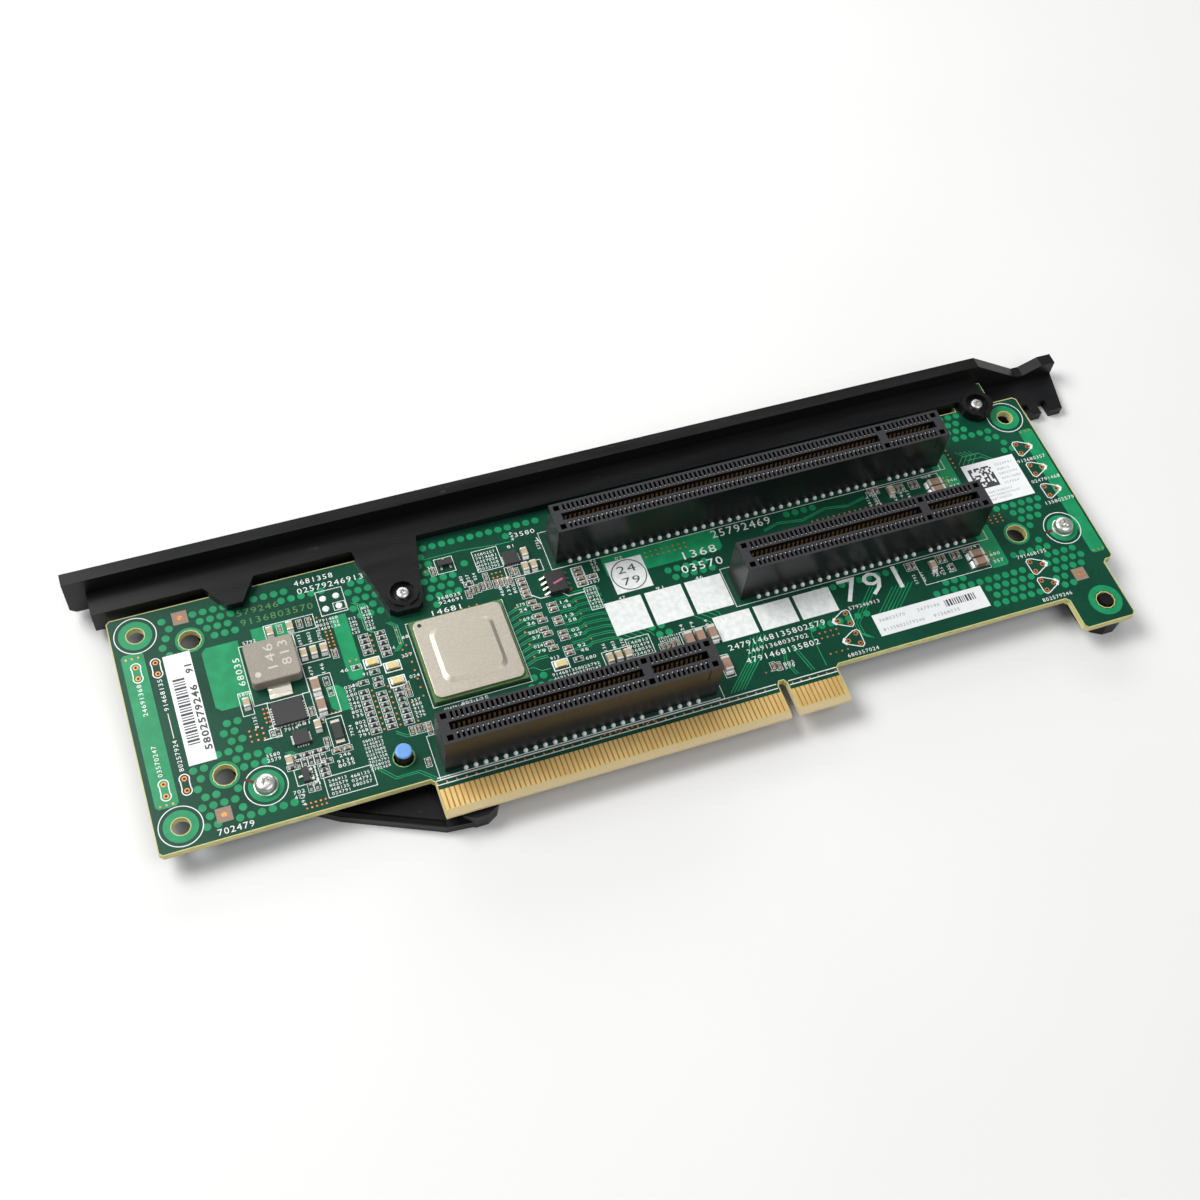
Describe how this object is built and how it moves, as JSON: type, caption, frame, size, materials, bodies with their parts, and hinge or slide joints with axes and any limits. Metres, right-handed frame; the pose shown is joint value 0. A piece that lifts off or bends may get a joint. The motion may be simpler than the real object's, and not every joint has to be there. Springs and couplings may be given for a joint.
{
  "type": "pcie riser card",
  "caption": "Long green riser board with a gold edge connector, three card sockets, a switch chip and a black plastic carrier rail along one side.",
  "frame": {"origin": "middle of the edge connector's key notch, at the inner end of its gold contacts, on the board's component face", "axes": "+X along the edge connector towards its short run of contacts, +Y from the connector towards the carrier rail, +Z out of the board through the card sockets"},
  "size_m": [0.2255, 0.0711, 0.0172],
  "materials": {
    "board": "satin solder mask over glass laminate",
    "gold_contact": "gold plated",
    "socket_plastic": "moulded black, matte top and smooth sides",
    "socket_metal": "plated spring contacts",
    "substrate": "green laminate",
    "lid_metal": "satin nickel plated",
    "choke_block": "moulded ferrite, matte",
    "tinned_lead": "tinned",
    "chip_plastic": "moulded black",
    "capacitor_block": "tan ceramic",
    "lamp": "cream resin",
    "carrier_plastic": "moulded black",
    "screw_metal": "zinc plated",
    "blue_cap": "blue paint",
    "label_paper": "white label stock"
  },
  "bodies": {
    "root": {"circuit_board": "board", "edge_contacts": "gold_contact", "x16_socket_housing": "socket_plastic", "x16_socket_contacts": "socket_metal", "x8_left_socket_housing": "socket_plastic", "x8_left_socket_contacts": "socket_metal", "x8_right_socket_housing": "socket_plastic", "x8_right_socket_contacts": "socket_metal", "switch_chip_substrate": "substrate", "switch_chip_lid": "lid_metal", "choke_body": "choke_block", "choke_leads": "tinned_lead", "power_stage_chip": "chip_plastic", "control_chip": "chip_plastic", "regulator_chip": "chip_plastic", "memory_chip_body": "chip_plastic", "memory_chip_leads": "tinned_lead", "transistor_cases": "chip_plastic", "transistor_leads": "tinned_lead", "diode_case": "chip_plastic", "diode_terminals": "tinned_lead", "large_capacitor_blocks": "capacitor_block", "large_capacitor_ends": "tinned_lead", "medium_capacitor_blocks": "capacitor_block", "medium_capacitor_ends": "tinned_lead", "indicator_lamps": "lamp", "carrier_rail": "carrier_plastic", "carrier_base": "carrier_plastic", "board_screws": "screw_metal", "rail_screws": "screw_metal", "guide_pin_cap": "blue_cap", "left_label": "label_paper", "square_label": "label_paper", "near_label": "label_paper"}
  },
  "joints": []
}
